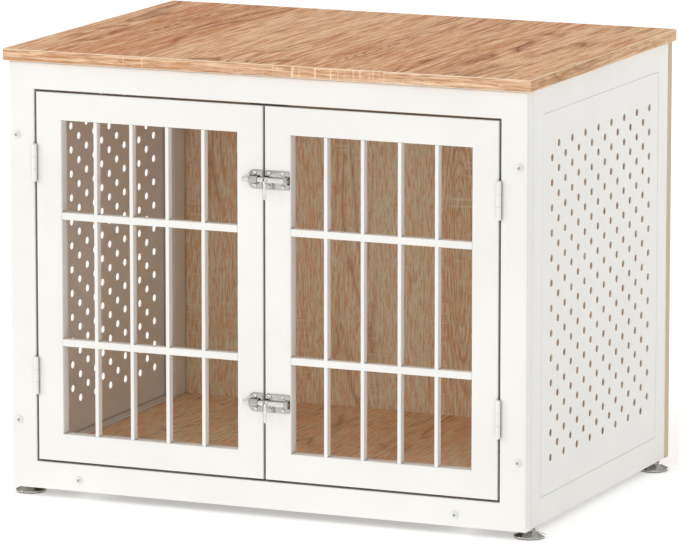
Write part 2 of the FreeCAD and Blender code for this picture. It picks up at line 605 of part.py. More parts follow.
def build_nodes():
    """Every node's list of solids, by name."""
    nodes = {}
    nodes["front_frame_stiles"], nodes["front_frame_rails"] = front_frame()
    nodes["front_frame_bolts"] = [front_bolt(x, z) for x, z in front_bolt_places()]
    nodes["side_post_inserts"] = [threaded_insert(side * SIDE_BOLT_X, z)
                                  for side in (-1, 1) for z in SIDE_BOLT_HEIGHTS]
    nodes["door_stops"] = door_stops()

    posts, rails = right_side_frame()
    sheet = side_sheet()
    nodes["right_side_posts"] = posts
    nodes["right_side_rails"] = rails
    nodes["right_side_sheet"] = [sheet]
    nodes["left_side_posts"] = [mirror_x(post) for post in posts]
    nodes["left_side_rails"] = [mirror_x(rail) for rail in rails]
    nodes["left_side_sheet"] = [turn_to_left(sheet)]

    nodes["top_board"] = [top_board()]
    nodes["top_board_screws"] = [top_screw(side * SIDE_MIDDLE_X, y) for side in (-1, 1) for y in TOP_SCREW_YS]
    nodes["back_board"] = [back_board()]
    nodes["back_board_screws"] = back_screws()
    nodes["floor_board"] = [floor_board()]
    nodes["floor_board_screws"] = floor_screws()
    nodes["floor_bearers"] = [bearer(side) for side in (-1, 1)]
    nodes["floor_bearer_plugs"] = [plug for side in (-1, 1) for plug in bearer_plugs(side)]

    grille = right_door_grille()
    for side in ("left", "right"):
        frame_leaves, door_leaves, pins = [], [], []
        for centre_z in HINGE_CENTRES[side]:
            parts = hinge_parts(centre_z)
            if side == "left":
                parts = [mirror_x(part) for part in parts]
            frame_leaves.append(parts[0])
            door_leaves.append(parts[1])
            pins.append(parts[2])
        nodes[side + "_hinge_frame_leaves"] = frame_leaves
        nodes[side + "_hinge_door_leaves"] = door_leaves
        nodes[side + "_hinge_pins"] = pins
        nodes[side + "_door_stiles"], nodes[side + "_door_rails"] = door_tubes(side)
        nodes[side + "_door_grille"] = [grille if side == "right" else mirror_x(grille)]

    nodes["latch_body_screws"] = [latch_screw(x, z) for x, z in latch_screw_places("right")]
    nodes["latch_keeper_screws"] = [latch_screw(x, z) for x, z in latch_screw_places("left")]
    for level, height in LATCH_HEIGHTS.items():
        nodes[level + "_latch_body"] = [latch_body(height)]
        nodes[level + "_latch_keeper"] = [latch_keeper(height)]
        nodes[level + "_latch_rod"] = [latch_rod(height)]
        nodes[level + "_latch_handle"] = [latch_handle(height)]

    names = ("front_left", "rear_left", "front_right", "rear_right")
    nodes["foot_nuts"] = [foot_nut(x, y) for x, y in foot_places()]
    for name, (x, y) in zip(names, foot_places()):
        nodes["foot_" + name] = [foot(x, y)]
    return nodes


def export(nodes):
    """One STEP file per node, moved to the crate's own origin."""
    os.makedirs("parts", exist_ok=True)
    for name, solids in nodes.items():
        shape = solids[0] if len(solids) == 1 else Part.makeCompound(solids)
        moved = shape.copy()
        moved.translate(ORIGIN_SHIFT)
        for solid in moved.Solids:
            if not solid.isValid():
                raise ValueError(name + " has an invalid solid")
        moved.exportStep("parts/" + name + ".step")
        print(name, len(moved.Solids), "solids", round(moved.Volume, 1), "mm3")


export(build_nodes())
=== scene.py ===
import json
import math

import bmesh
import bpy
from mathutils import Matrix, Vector


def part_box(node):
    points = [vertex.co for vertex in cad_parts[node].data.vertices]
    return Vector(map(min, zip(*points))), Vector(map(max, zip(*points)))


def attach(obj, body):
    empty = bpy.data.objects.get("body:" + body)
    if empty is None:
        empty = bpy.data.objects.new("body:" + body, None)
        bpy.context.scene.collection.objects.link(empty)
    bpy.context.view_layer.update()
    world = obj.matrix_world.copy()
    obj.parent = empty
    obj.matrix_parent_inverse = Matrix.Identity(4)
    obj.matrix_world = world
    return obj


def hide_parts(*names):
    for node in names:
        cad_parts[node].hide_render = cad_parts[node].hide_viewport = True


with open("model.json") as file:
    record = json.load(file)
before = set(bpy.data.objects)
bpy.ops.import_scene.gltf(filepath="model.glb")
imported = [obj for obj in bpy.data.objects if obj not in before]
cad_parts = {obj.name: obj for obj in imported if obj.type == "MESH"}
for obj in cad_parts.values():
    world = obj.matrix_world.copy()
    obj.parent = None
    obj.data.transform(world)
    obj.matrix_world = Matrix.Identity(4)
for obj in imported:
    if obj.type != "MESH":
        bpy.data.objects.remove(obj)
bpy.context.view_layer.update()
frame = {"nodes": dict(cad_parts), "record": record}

MM = 0.001

# Axes
WIDTH = 0
DEPTH = 1
HEIGHT = 2

# Places are written in millimetres from the crate's front face and from the underside of its frames:
# X to the right, Y into the depth, Z up. at() turns them into the part's own frame, in metres.
FRONT_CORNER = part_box("front_frame_stiles")[0]
FRONT_Y = FRONT_CORNER.y
BASE_Z = FRONT_CORNER.z

# Slide bolts
LATCH_HEIGHTS = {"lower": 156.0, "upper": 480.0}
PLATE_THICKNESS = 1.2
PLATE_HALF_HEIGHT = 13.5
PLATE_BEVEL = 0.3
BODY_PLATE = (2.5, 40.5)
BODY_PLATE_ROUND = 2.0
KEEPER_PLATE = (-24.0, -1.9)
KEEPER_LEFT_ROUND = 9.0
KEEPER_RIGHT_ROUND = 0.6
BODY_STRAPS = ((2.5, 4.2), (34.5, 40.5))
KEEPER_STRAP = (-20.5, -6.8)
STRAP_INNER = 3.83
STRAP_OUTER = 5.33
STRAP_FOOT = 1.1
STRAP_BEVEL = 0.25
STRAP_SINK = 0.9
ROD_SPAN = (-31.0, 41.0)
ROD_RADIUS = 3.75
ROD_SOFT = 1.2
ROD_Y = -6.2
HANDLE_X = 7.0
HANDLE_RADIUS = 2.5
HANDLE_Y = -12.5
HANDLE_BEND = 4.5
HANDLE_DROP = 27.5
HANDLE_TIP = 1.6
HANDLE_RINGS_Z = (-8.0, -14.0, -20.0)
COLLAR_RADIUS = 4.7
COLLAR_BORE = 3.81
COLLAR_SOFT = 0.4

# Cross-head screws of the slide bolts; a dome's points are shares of the head's radius and height
SCREW_DZ = 9.4
BODY_SCREWS_X = (9.0, 30.0)
KEEPER_SCREW_X = -13.0
SCREW_RADIUS = 2.9
SCREW_HEIGHT = 1.5
SCREW_SEGMENTS = 40
SCREW_TURN = 0.4
SCREW_DOME = ((1.0, 0.0), (1.0, 0.2), (0.97, 0.45), (0.9, 0.66), (0.8, 0.8), (0.7, 0.88), (0.6, 0.93),
              (0.5, 0.96), (0.4, 0.98), (0.3, 0.99), (0.2, 1.0), (0.12, 1.0))
CROSS_HALF_WIDTH = 0.42
CROSS_REACH = 1.75
CROSS_DEPTH = 0.75

# Levelling feet
FOOT_PLACES = {"front_left": (-394.0, 40.0), "rear_left": (-394.0, 542.0),
               "front_right": (394.0, 40.0), "rear_right": (394.0, 542.0)}
FOOT_BOTTOM = -15.0
FOOT_STUD_RADIUS = 4.0
FOOT_STUD_TOP = 26.0
FOOT_NECK_TOP = -1.5
FOOT_MIDDLE = 0.001
FOOT_SEGMENTS = 72
FOOT_MERGE = 0.005

# Tubes: the middle lines of the frames' members, and how far their faces fall away towards their edges
FRAME_MIDDLE_Z = 314.5
FRAME_STILE_X = 384.0
FRAME_RAIL_DZ = 294.5
DOOR_MIDDLE = 181.15
DOOR_STILE_DX = 159.45
DOOR_RAIL_DZ = 251.1
POST_MIDDLES_Y = (40.0, 542.0)
TUBE_HALF_FACE = 20.0
TUBE_HALF_EDGE = 10.0
BOW_POWER = 5.0
FACE_BOW = 0.5
EDGE_BOW = 0.8
POST_BOW = 3.0

# Shades, as display colours from 0 to 255; the last is a multiplier
COAT_WHITE = (244, 243, 239)
SCREW_WHITE = (234, 234, 231)
# Painted shade on the side rails' faces that look up
LEDGE_SHADE_GREY = (238, 238, 235)
CHROME = (234, 232, 228)
PRESSED_CHROME = (196, 194, 190)
FOOT_CHROME = (192, 190, 185)
ZINC = (180, 180, 176)
# Painted shade in the corners of plated parts, near black
SHUT_SHADE_COLOUR = (34, 32, 30)
BARE_BACK = (218, 202, 170)
# Painted shade: the floor board's bare underside and edges are dark, so little warm light bounces under the
# crate
SHADED_BARE_FLOOR = (120, 112, 100)
FLOOR_SHADES = ((238, 238, 238), (242, 242, 242))
# Dims the back board's outside towards the top's tone, taking off the painted light of its paler print
OUTSIDE_SHADE = (0.66, 0.58, 0.54, 1.0)

# Powder coat and plating: noise scales a metre, small spreads of tone and gloss, and the gap widths that
# take painted shade, in millimetres
COAT_CLOUD = 9.0
COAT_PEEL = 900.0
COAT_TONE_SPREAD = 4
COAT_GLOSS_SPREAD = 0.08
COAT_GAP = 5.0
PLATE_CLOUD = 160.0
PLATE_SCRATCH = 1500.0
PLATE_TONE_SPREAD = 14
PLATE_GAP = 3.0

# Oak print: staves a metre, and the most that one's grain is shifted along another's, in metres
STAVE_RATE = 7.0
STAVE_SHIFT = 7.0
# Features a metre, along and across the grain
FIGURE_RATE = (1.5, 9.0)
FIGURE_LINES = 12.0
PATCH_RATE = (1.5, 11.0)
BAND_RATE = (2.0, 40.0)
SAW_RATE = (200.0, 16.0)
SAW_PATCH_RATE = (4.0, 22.0)
PORE_FINER = 1.3
# Features a metre, across and along the grain
GLINT_RATE = (430.0, 26.0)
# How much staves, bands and fibres count towards the tone, and the span from middle to pale
STAVE_TONE = 0.6
BAND_TONE = 1.1
FIBRE_TONE = 2.6
TONE_SPAN = (0.40, 1.35)
GLINT_SHARE = 0.5
# How far a knot reaches along and across the grain, in metres, and how much it lifts the figure
KNOT_REACH = (0.10, 0.016)
KNOT_LIFT = 0.45
# Knots, along and across the grain, in metres, in the part's own frame
TOP_KNOTS = ((0.09, -0.29), (-0.09, 0.09))
BACK_KNOTS = ((0.36, 0.07), (0.22, 0.075))
BARE_SPECKLE = 500.0
BARE_SHADE = 0.82

# Top board: its rounded edges, and how far up a face looks where the band ends and where the rim ends
BAND_ROUND = 1.4
BAND_UP = 0.3
RIM_UP = 0.92

# Camera, as a long lens a long way off
CAMERA_PLACE = (3.4446, -7.9521, 1.8478)
CAMERA_YAW = 23.448
CAMERA_PITCH = 10.033
CAMERA_LENS = 316.95
SENSOR_WIDTH = 36.0

# Light: the world's own level, and how much brighter it gets towards each side
WORLD_COLOUR = (1.0, 0.995, 0.985, 1.0)
WORLD_BASE = 0.17
WORLD_LOBES = (("Y", -0.67), ("Z", 0.61))
KEY_WATTS = 144.0
KEY_PLACE = (-7.4, -4.6, 2.8)
KEY_TARGET = (0.0, 0.0, 0.3)
KEY_SIZE = (2.0, 2.0)
RIM_WATTS = 50.0
RIM_PLACE = (1.4, 5.0, 1.3)
RIM_TARGET = (0.4, 0.0, 0.3)
RIM_SIZE = (0.9, 1.8)
FLOOR_GLOW = 0.375
FLOOR_REACH = 20.0


def at(x, y, z):
    """A place in the part's own frame."""
    return Vector((x * MM, FRONT_Y + y * MM, BASE_Z + z * MM))


# Node tools ----------------------------------------------------------------------------------------


class Nodes:
    """A short way to write a material's node tree."""

    def __init__(self, name):
        self.material = bpy.data.materials.new(name)
        self.material.use_nodes = True
        self.tree = self.material.node_tree
        self.tree.nodes.clear()
        self.output = self.tree.nodes.new("ShaderNodeOutputMaterial")
        self.shader = self.tree.nodes.new("ShaderNodeBsdfPrincipled")
        self.link(self.shader.outputs["BSDF"], self.output.inputs["Surface"])
        coordinates = self.tree.nodes.new("ShaderNodeTexCoord")
        self.place = coordinates.outputs["Object"]
        self.normal = coordinates.outputs["Normal"]

    def link(self, source, target):
        self.tree.links.new(source, target)

    def put(self, value, target):
        """A number, colour or output into an input."""
        if isinstance(value, bpy.types.NodeSocket):
            self.link(value, target)
        else:
            target.default_value = value

    def finish(self, **inputs):
        """Puts values into the shader's inputs, named with underscores, and returns the material."""
        for name, value in inputs.items():
            self.put(value, self.shader.inputs[name.replace("_", " ")])
        return self.material

    def math(self, operation, a, b=0.0):
        node = self.tree.nodes.new("ShaderNodeMath")
        node.operation = operation
        self.put(a, node.inputs[0])
        self.put(b, node.inputs[1])
        return node.outputs[0]

    def split(self, vector):
        node = self.tree.nodes.new("ShaderNodeSeparateXYZ")
        self.link(vector, node.inputs[0])
        return node.outputs

    def join(self, x, y, z=0.0):
        node = self.tree.nodes.new("ShaderNodeCombineXYZ")
        for value, target in zip((x, y, z), node.inputs):
            self.put(value, target)
        return node.outputs[0]

    def noise(self, vector, scale=1.0, detail=2.0, roughness=0.5, distortion=0.0):
        node = self.tree.nodes.new("ShaderNodeTexNoise")
        self.link(vector, node.inputs["Vector"])
        node.inputs["Scale"].default_value = scale
        node.inputs["Detail"].default_value = detail
        node.inputs["Roughness"].default_value = roughness
        node.inputs["Distortion"].default_value = distortion
        return node.outputs["Fac"]

    def streaks(self, a, b, rate, detail=2.0, roughness=0.5, distortion=0.0):
        """Noise with its own scale along each of two places: rate is a pair."""
        spot = self.join(self.math("MULTIPLY", a, rate[0]), self.math("MULTIPLY", b, rate[1]))
        return self.noise(spot, 1.0, detail, roughness, distortion)

    def ramp(self, value, low, high, to_low=0.0, to_high=1.0):
        """Maps low..high to to_low..to_high, held at the ends."""
        node = self.tree.nodes.new("ShaderNodeMapRange")
        self.put(value, node.inputs["Value"])
        limits = (("From Min", low), ("From Max", high), ("To Min", to_low), ("To Max", to_high))
        for name, number in limits:
            self.put(number, node.inputs[name])
        return node.outputs["Result"]

    def mix(self, factor, a, b, blend="MIX"):
        node = self.tree.nodes.new("ShaderNodeMix")
        node.data_type = "RGBA"
        node.blend_type = blend
        sockets = [socket for socket in node.inputs if socket.enabled]
        self.put(factor, sockets[0])
        self.put(a, sockets[1])
        self.put(b, sockets[2])
        return [socket for socket in node.outputs if socket.enabled][0]

    def openness(self, distance, low=0.3, high=0.9):
        """1 on open surfaces, falling to 0 in corners and gaps narrower than a distance: the mask of painted
        shade.
        """
        node = self.tree.nodes.new("ShaderNodeAmbientOcclusion")
        node.samples = 8
        node.inputs["Distance"].default_value = distance
        return self.ramp(node.outputs["AO"], low, high)

    def facing(self, axis):
        """How far a face looks along an axis, from -1 to 1."""
        return self.split(self.normal)[axis]

    def bump(self, height, strength, distance, normal=None):
        node = self.tree.nodes.new("ShaderNodeBump")
        node.inputs["Strength"].default_value = strength
        node.inputs["Distance"].default_value = distance
        self.put(height, node.inputs["Height"])
        if normal is not None:
            self.link(normal, node.inputs["Normal"])
        return node.outputs["Normal"]


def srgb(red, green, blue):
    """A display colour, 0 to 255, as the linear colour that a shader takes."""
    def linear(value):
        value = value / 255
        return value / 12.92 if value <= 0.04045 else ((value + 0.055) / 1.055) ** 2.4
    return (linear(red), linear(green), linear(blue), 1.0)


def dimmed(colour, share):
    """A linear colour at a share of its brightness."""
    return tuple(channel * share for channel in colour[:3]) + (1.0,)


def lowered(colour, amount):
    """A display colour with each channel lower by an amount, as a linear colour."""
    return srgb(*(channel - amount for channel in colour))


# Powder coat and plating ---------------------------------------------------------------------------


def bowed_normal(nodes, bows):
    """The normal of faces that fall away. Each bow is (axis, start, end, drop), in metres."""
    axes = nodes.split(nodes.place)
    height = 0.0
    for axis, start, end, drop in bows:
        reach = nodes.math("POWER", nodes.ramp(axes[axis], start, end), BOW_POWER)
        height = nodes.math("SUBTRACT", height, nodes.math("MULTIPLY", reach, drop))
    return nodes.bump(height, 1.0, 1.0)


def powder_coat(name, colour=COAT_WHITE, bows=(), gap_shade=0.45, roughness=0.34, shaded_dull_ledges=False):
    """Satin white powder coat: fine orange peel, faint tone and gloss changes, painted shade in narrow gaps.

    Bows let a tube's faces fall away towards their edges. The ledge option greys the narrow faces that
    look up, as painted shade, and takes their gloss away.
    """
    nodes = Nodes(name)
    cloud = nodes.noise(nodes.place, COAT_CLOUD, 3.0)
    light = srgb(*colour)
    tone = nodes.mix(nodes.ramp(cloud, 0.35, 0.65), lowered(colour, COAT_TONE_SPREAD), light)
    # Painted shade: the coat darkens in corners and narrow gaps
    tone = nodes.mix(nodes.openness(COAT_GAP * MM), dimmed(light, gap_shade), tone)
    gloss = nodes.ramp(cloud, 0.3, 0.7, roughness, roughness + COAT_GLOSS_SPREAD)
    if shaded_dull_ledges:
        up = nodes.facing(HEIGHT)
        # Painted shade: faces that look up turn grey
        tone = nodes.mix(nodes.ramp(up, 0.05, 0.5), tone, srgb(*LEDGE_SHADE_GREY))
        gloss = nodes.math("MAXIMUM", gloss, nodes.ramp(up, 0.02, 0.2))
    normal = bowed_normal(nodes, bows) if bows else None
    peel = nodes.bump(nodes.noise(nodes.place, COAT_PEEL, 1.0), 0.05, 0.3 * MM, normal)
    return nodes.finish(Base_Color=tone, Roughness=gloss, Normal=peel)


def plated(name, colour, roughness, spread, shut_shade=0.0):
    """Plated metal, with faint patches and scratches in its polish, and painted shade darkening its corners.
    """
    nodes = Nodes(name)
    cloud = nodes.noise(nodes.place, PLATE_CLOUD, 3.0)
    tone = nodes.mix(nodes.ramp(cloud, 0.3, 0.7), lowered(colour, PLATE_TONE_SPREAD), srgb(*colour))
    # Painted shade: near black where the metal is shut in by nearby parts
    if shut_shade:
        shut = nodes.math("SUBTRACT", 1.0, nodes.openness(PLATE_GAP * MM, 0.40, 0.92))
        tone = nodes.mix(nodes.math("MULTIPLY", shut, shut_shade), tone, srgb(*SHUT_SHADE_COLOUR))
    gloss = nodes.ramp(cloud, 0.3, 0.7, roughness, roughness + spread)
    scratches = nodes.bump(nodes.noise(nodes.place, PLATE_SCRATCH, 2.0), 0.05, 0.2 * MM)
    return nodes.finish(Base_Color=tone, Metallic=1.0, Roughness=gloss, Normal=scratches)


# Oak print -----------------------------------------------------------------------------------------


def pick_staves(nodes, across):
    """Three random numbers, from 0 to 1, for each stave."""
    cell = nodes.tree.nodes.new("ShaderNodeTexVoronoi")
    cell.voronoi_dimensions = "1D"
    cell.inputs["Scale"].default_value = STAVE_RATE
    nodes.link(across, cell.inputs["W"])
    return nodes.split(cell.outputs["Color"])


def figure_print(nodes, a, b, knot_places):
    """Growth lines that come in patches and bend round the knots.

    a and b are the places along and across the grain. Each knot place is a pair of distances from it.
    """
    field = nodes.streaks(a, b, FIGURE_RATE, 2.0, 0.5, 0.3)
    patch = nodes.ramp(nodes.streaks(a, b, PATCH_RATE, 1.0), 0.50, 0.62)
    for knot_a, knot_b in knot_places:
        far_a = nodes.math("DIVIDE", knot_a, KNOT_REACH[0])
        far_b = nodes.math("DIVIDE", knot_b, KNOT_REACH[1])
        reach = nodes.math("ADD", nodes.math("MULTIPLY", far_a, far_a), nodes.math("MULTIPLY", far_b, far_b))
        eye = nodes.math("DIVIDE", 1.0, nodes.math("ADD", reach, 1.0))
        field = nodes.math("ADD", field, nodes.math("MULTIPLY", eye, KNOT_LIFT))
        patch = nodes.math("MAXIMUM", patch, nodes.ramp(eye, 0.12, 0.5))
    lines = nodes.math("PINGPONG", nodes.math("MULTIPLY", field, FIGURE_LINES), 0.5)
    lines = nodes.math("POWER", nodes.math("MULTIPLY", lines, 2.0), 3.0)
    return nodes.math("MULTIPLY", lines, patch)


def saw_print(nodes, a, b):
    """Short marks across the grain, in patches."""
    marks = nodes.ramp(nodes.streaks(a, b, SAW_RATE, 1.0), 0.55, 0.66)
    patch = nodes.ramp(nodes.streaks(a, b, SAW_PATCH_RATE, 1.0), 0.5, 0.6)
    return nodes.math("MULTIPLY", marks, patch)


def calm_outside(nodes, laminate, middle, axis, shade):
    """A calmer print on the side that looks along an axis, dimmed to take off the painted light of the paler
    print, since that side stands in full light.
    """
    calm = nodes.mix(1.0, nodes.mix(0.35, laminate, middle), shade, "MULTIPLY")
    return nodes.mix(nodes.ramp(nodes.facing(axis), 0.45, 0.55), laminate, calm)


def bare_edges(nodes, laminate, face, bare_colour):
    """Laminate where the board faces along an axis, bare speckled board on its edges and its other side."""
    axis, both_sides = face
    facing = nodes.facing(axis)
    if both_sides:
        facing = nodes.math("ABSOLUTE", facing)
    light = srgb(*bare_colour)
    speckle = nodes.ramp(nodes.noise(nodes.place, BARE_SPECKLE, 3.0), 0.35, 0.65)
    bare = nodes.mix(speckle, dimmed(light, BARE_SHADE), light)
    return nodes.mix(nodes.ramp(facing, 0.45, 0.55), bare, laminate)


def oak(name, along, across, tones, saw_marks=0.3, figure=0.6, fibres=1.0, pore_depth=0.45,
        fibre_rate=(13.0, 250.0), knots=(), seed=0.0, face=None, bare=None, outside=None):
    """Oak-effect laminate: staves of their own tone, figure lines, fibres, pores and pale saw marks.

    along and across are the axes that the grain runs along and that the staves lie across. tones are
    its dark, middle and pale display colours. Each knot is a place along and across, in metres.
    face, if given, is the axis that the laminate faces along and whether it is on both sides, and
    bare is the colour of the board elsewhere. outside is the shade of the side that looks along it.
    """
    dark, middle, pale = (srgb(*tone) for tone in tones)
    nodes = Nodes(name)
    place = nodes.split(nodes.place)
    b = nodes.math("ADD", place[across], seed)
    pick = pick_staves(nodes, b)
    a = nodes.math("ADD", place[along], nodes.math("MULTIPLY", pick[0], STAVE_SHIFT))

    knot_places = []
    for knot_along, knot_across in knots:
        from_knot = (nodes.math("SUBTRACT", place[along], knot_along),
                     nodes.math("SUBTRACT", place[across], knot_across))
        knot_places.append(from_knot)
    lines = figure_print(nodes, a, b, knot_places)
    bands = nodes.streaks(a, b, BAND_RATE, 3.0)
    fibre = nodes.streaks(a, b, fibre_rate, 4.0, 0.75, 0.6)
    pore_rate = [rate * PORE_FINER for rate in fibre_rate]
    pores = nodes.ramp(nodes.streaks(a, b, pore_rate, 2.0, 0.6, 0.4), 0.53, 0.66)
    glints = nodes.ramp(nodes.streaks(b, a, GLINT_RATE, 2.0, 0.6, 0.3), 0.55, 0.68)

    stave_tone = nodes.math("MULTIPLY", pick[2], STAVE_TONE)
    tone = nodes.math("ADD", stave_tone, nodes.math("MULTIPLY", bands, BAND_TONE))
    grain = nodes.math("MULTIPLY", nodes.math("SUBTRACT", fibre, 0.5), FIBRE_TONE * fibres)
    colour = nodes.mix(nodes.ramp(nodes.math("ADD", tone, grain), *TONE_SPAN), middle, pale)
    colour = nodes.mix(nodes.math("MULTIPLY", lines, figure), colour, dark)
    colour = nodes.mix(nodes.math("MULTIPLY", pores, pore_depth), colour, dark)
    colour = nodes.mix(nodes.math("MULTIPLY", glints, GLINT_SHARE), colour, pale)
    colour = nodes.mix(nodes.math("MULTIPLY", saw_print(nodes, a, b), saw_marks), colour, pale)
    if outside:
        colour = calm_outside(nodes, colour, middle, face[0], outside)
    if face:
        colour = bare_edges(nodes, colour, face, bare)
    height = nodes.math("SUBTRACT", fibre, nodes.math("MULTIPLY", pores, 0.8))
    return nodes.finish(Base_Color=colour, Roughness=nodes.ramp(fibre, 0.3, 0.7, 0.75, 0.65),
                        Specular_IOR_Level=0.08, Normal=nodes.bump(height, 0.25, 0.2 * MM))


# Each part's finish --------------------------------------------------------------------------------


def tube_bows(axis, middle, half_width, drop):
    """The bow of a tube's face towards both of its edges, in metres."""
    return ((axis, middle, middle + half_width, drop), (axis, middle, middle - half_width, drop))


def pair_bows(axis, middle, offset):
    """The bows of the wide faces of two tubes that lie offset either side of middle, in metres."""
    half = TUBE_HALF_FACE * MM
    drop = FACE_BOW * MM
    return tube_bows(axis, middle - offset, half, drop) + tube_bows(axis, middle + offset, half, drop)


def edge_bows():
    """The bows of the narrow faces of the front frame's and the doors' tubes."""
    return tube_bows(DEPTH, at(0, TUBE_HALF_EDGE, 0).y, TUBE_HALF_EDGE * MM, EDGE_BOW * MM)


def post_bows():
    """The bows of the side frames' posts, towards the rear only."""
    bows = []
    for middle in POST_MIDDLES_Y:
        start = at(0, middle, 0).y
        bows.append((DEPTH, start, start + TUBE_HALF_FACE * MM, POST_BOW * MM))
    return bows


def build_coats():
    """The powder coats, by the name that finish_carried_nodes() asks for."""
    middle_z = at(0, 0, FRAME_MIDDLE_Z).z
    edges = edge_bows()
    stiles = pair_bows(WIDTH, 0.0, FRAME_STILE_X * MM)
    rails = pair_bows(HEIGHT, middle_z, FRAME_RAIL_DZ * MM)
    made = {
        "white": powder_coat("white_powder_coat"),
        # The sheet takes the deepest painted shade, in its holes and at its rims; the screws take a lighter
        # one
        "sheet_white": powder_coat("white_sheet_coat", gap_shade=0.10),
        "screw_white": powder_coat("white_screw_coat", SCREW_WHITE, gap_shade=0.55, roughness=0.18),
        "front_stiles": powder_coat("white_front_stiles", bows=stiles + edges),
        "front_rails": powder_coat("white_front_rails", bows=rails + edges),
        "side_posts": powder_coat("white_side_posts", bows=post_bows()),
        "side_rails": powder_coat("white_side_rails", shaded_dull_ledges=True),
    }
    for side, sign in (("left", -1), ("right", 1)):
        stiles = pair_bows(WIDTH, sign * DOOR_MIDDLE * MM, DOOR_STILE_DX * MM)
        rails = pair_bows(HEIGHT, middle_z, DOOR_RAIL_DZ * MM)
        made[side + "_door_stiles"] = powder_coat("white_" + side + "_door_stiles", bows=stiles + edges)
        made[side + "_door_rails"] = powder_coat("white_" + side + "_door_rails", bows=rails + edges)
    return made


def build_platings():
    return {
        "chrome": plated("bright_chrome", CHROME, 0.06, 0.06),
        # The pressed plates and the feet take painted shade in their corners and where the feet meet the
        # floor
        "pressed_chrome": plated("pressed_chrome", PRESSED_CHROME, 0.06, 0.07, shut_shade=1.0),
        "foot_chrome": plated("foot_chrome", FOOT_CHROME, 0.07, 0.06, shut_shade=0.8),
        "zinc": plated("zinc_plate", ZINC, 0.30, 0.12),
    }


def build_oaks():
    """The wood print of the top's face, its edge bands and its rims, and of the back and the floor. The
    rims' pale print is a painted highlight; the back's and the floor's paler prints are painted light.
    """
    return {
        "top": oak("oak_top", DEPTH, WIDTH, ((140, 74, 44), (208, 138, 96), (252, 212, 172)),
                   figure=0.8, fibres=3.0, pore_depth=0.35, fibre_rate=(8.0, 300.0), knots=TOP_KNOTS),
        "band_x": oak("oak_band_front", WIDTH, HEIGHT, ((144, 92, 60), (200, 150, 112), (248, 214, 180)),
                      saw_marks=0.9, fibres=2.0, seed=5.1),
        "band_y": oak("oak_band_side", DEPTH, HEIGHT, ((146, 94, 62), (196, 146, 108), (242, 202, 164)),
                      saw_marks=0.6, fibres=1.5, pore_depth=0.35, seed=2.2),
        # Painted highlight: the rounded rims take a near-white oak
        "rim": oak("oak_rim_painted_highlight", WIDTH, DEPTH, ((244, 214, 178), (252, 232, 202), (255, 244, 222)), seed=4.4),
        # The back's and the floor's prints are paler than the top's: painted light for the crate's shaded
        # inside
        "back": oak("oak_back", HEIGHT, WIDTH, ((188, 122, 82), (252, 204, 160), (255, 246, 218)),
                    saw_marks=0.6, figure=0.5, fibres=3.2, pore_depth=0.42, fibre_rate=(34.0, 330.0),
                    knots=BACK_KNOTS, seed=3.7, face=(DEPTH, True), bare=BARE_BACK, outside=OUTSIDE_SHADE),
        "floor": oak("oak_floor", DEPTH, WIDTH, ((174, 108, 72), (255, 204, 160), (255, 240, 206)),
                     fibres=3.2, pore_depth=0.5, fibre_rate=(16.0, 300.0), seed=8.3,
                     face=(HEIGHT, False), bare=SHADED_BARE_FLOOR),
    }


# Mesh tools ----------------------------------------------------------------------------------------


def add_piece(name, shape, body, material, replaced, sharp=35.0):
    """A mesh piece that rides on a body, takes one finish and stands in for CAD nodes."""
    mesh = bpy.data.meshes.new(name)
    bmesh.ops.recalc_face_normals(shape, faces=shape.faces)
    shape.to_mesh(mesh)
    shape.free()
    for polygon in mesh.polygons:
        polygon.use_smooth = True
    mesh.set_sharp_from_angle(angle=math.radians(sharp))
    mesh.materials.append(material)
    obj = bpy.data.objects.new(name, mesh)
    bpy.context.scene.collection.objects.link(obj)
    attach(obj, body)
    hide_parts(*replaced)
    return obj


def arc(middle, radius, start, end, steps):
    """Points on an arc in a plane, angles in degrees."""
    points = []
    for step in range(steps + 1):
        angle = math.radians(start + (end - start) * step / steps)
        points.append((middle[0] + radius * math.cos(angle), middle[1] + radius * math.sin(angle)))
    return points


def ring_strip(shape, rings, closed_ends=True):
    """Joins rings of points, each a list of the same length, into a skin."""
    rows = [[shape.verts.new(point) for point in ring] for ring in rings]
    for row, following in zip(rows, rows[1:]):
        for index in range(len(row)):
            after = (index + 1) % len(row)
            shape.faces.new((row[index], row[after], following[after], following[index]))
    if closed_ends:
        shape.faces.new(rows[0])
        shape.faces.new(list(reversed(rows[-1])))


def lathe(shape, profile, middle, axis, segments=48, closed_ends=True):
    """Turns (radius, distance) points about a line through middle along an axis."""
    rings = []
    for radius, distance in profile:
        ring = []
        for index in range(segments):
            angle = 2 * math.pi * index / segments
            offset = [0.0, 0.0, 0.0]
            offset[axis] = distance
            offset[(axis + 1) % 3] = radius * math.cos(angle)
            offset[(axis + 2) % 3] = radius * math.sin(angle)
            ring.append(at(*(middle[k] + offset[k] for k in range(3))))
        rings.append(ring)
    ring_strip(shape, rings, closed_ends)


def inset(outline, amount):
    """An anticlockwise outline of plane points, moved inwards at each of its points."""
    moved = []
    for index, here in enumerate(outline):
        before = Vector(outline[index - 1])
        here = Vector(here)
        after = Vector(outline[(index + 1) % len(outline)])
        run_in = (here - before).normalized()
        run_out = (after - here).normalized()
        normal = Vector((-(run_in.y + run_out.y), run_in.x + run_out.x)).normalized()
        moved.append(here + normal * amount)
    return moved


def slab(shape, outline, place, low, high, bevel):
    """An outline carried from low to high, its rims bevelled. place(u, v, w) gives each point."""
    slight = bevel * 0.3
    levels = ((low, bevel), (low + slight, slight), (low + bevel, 0.0),
              (high - bevel, 0.0), (high - slight, slight), (high, bevel))
    rings = [[place(u, v, level) for u, v in inset(outline, amount)] for level, amount in levels]
    ring_strip(shape, rings)


# Top board -----------------------------------------------------------------------------------------


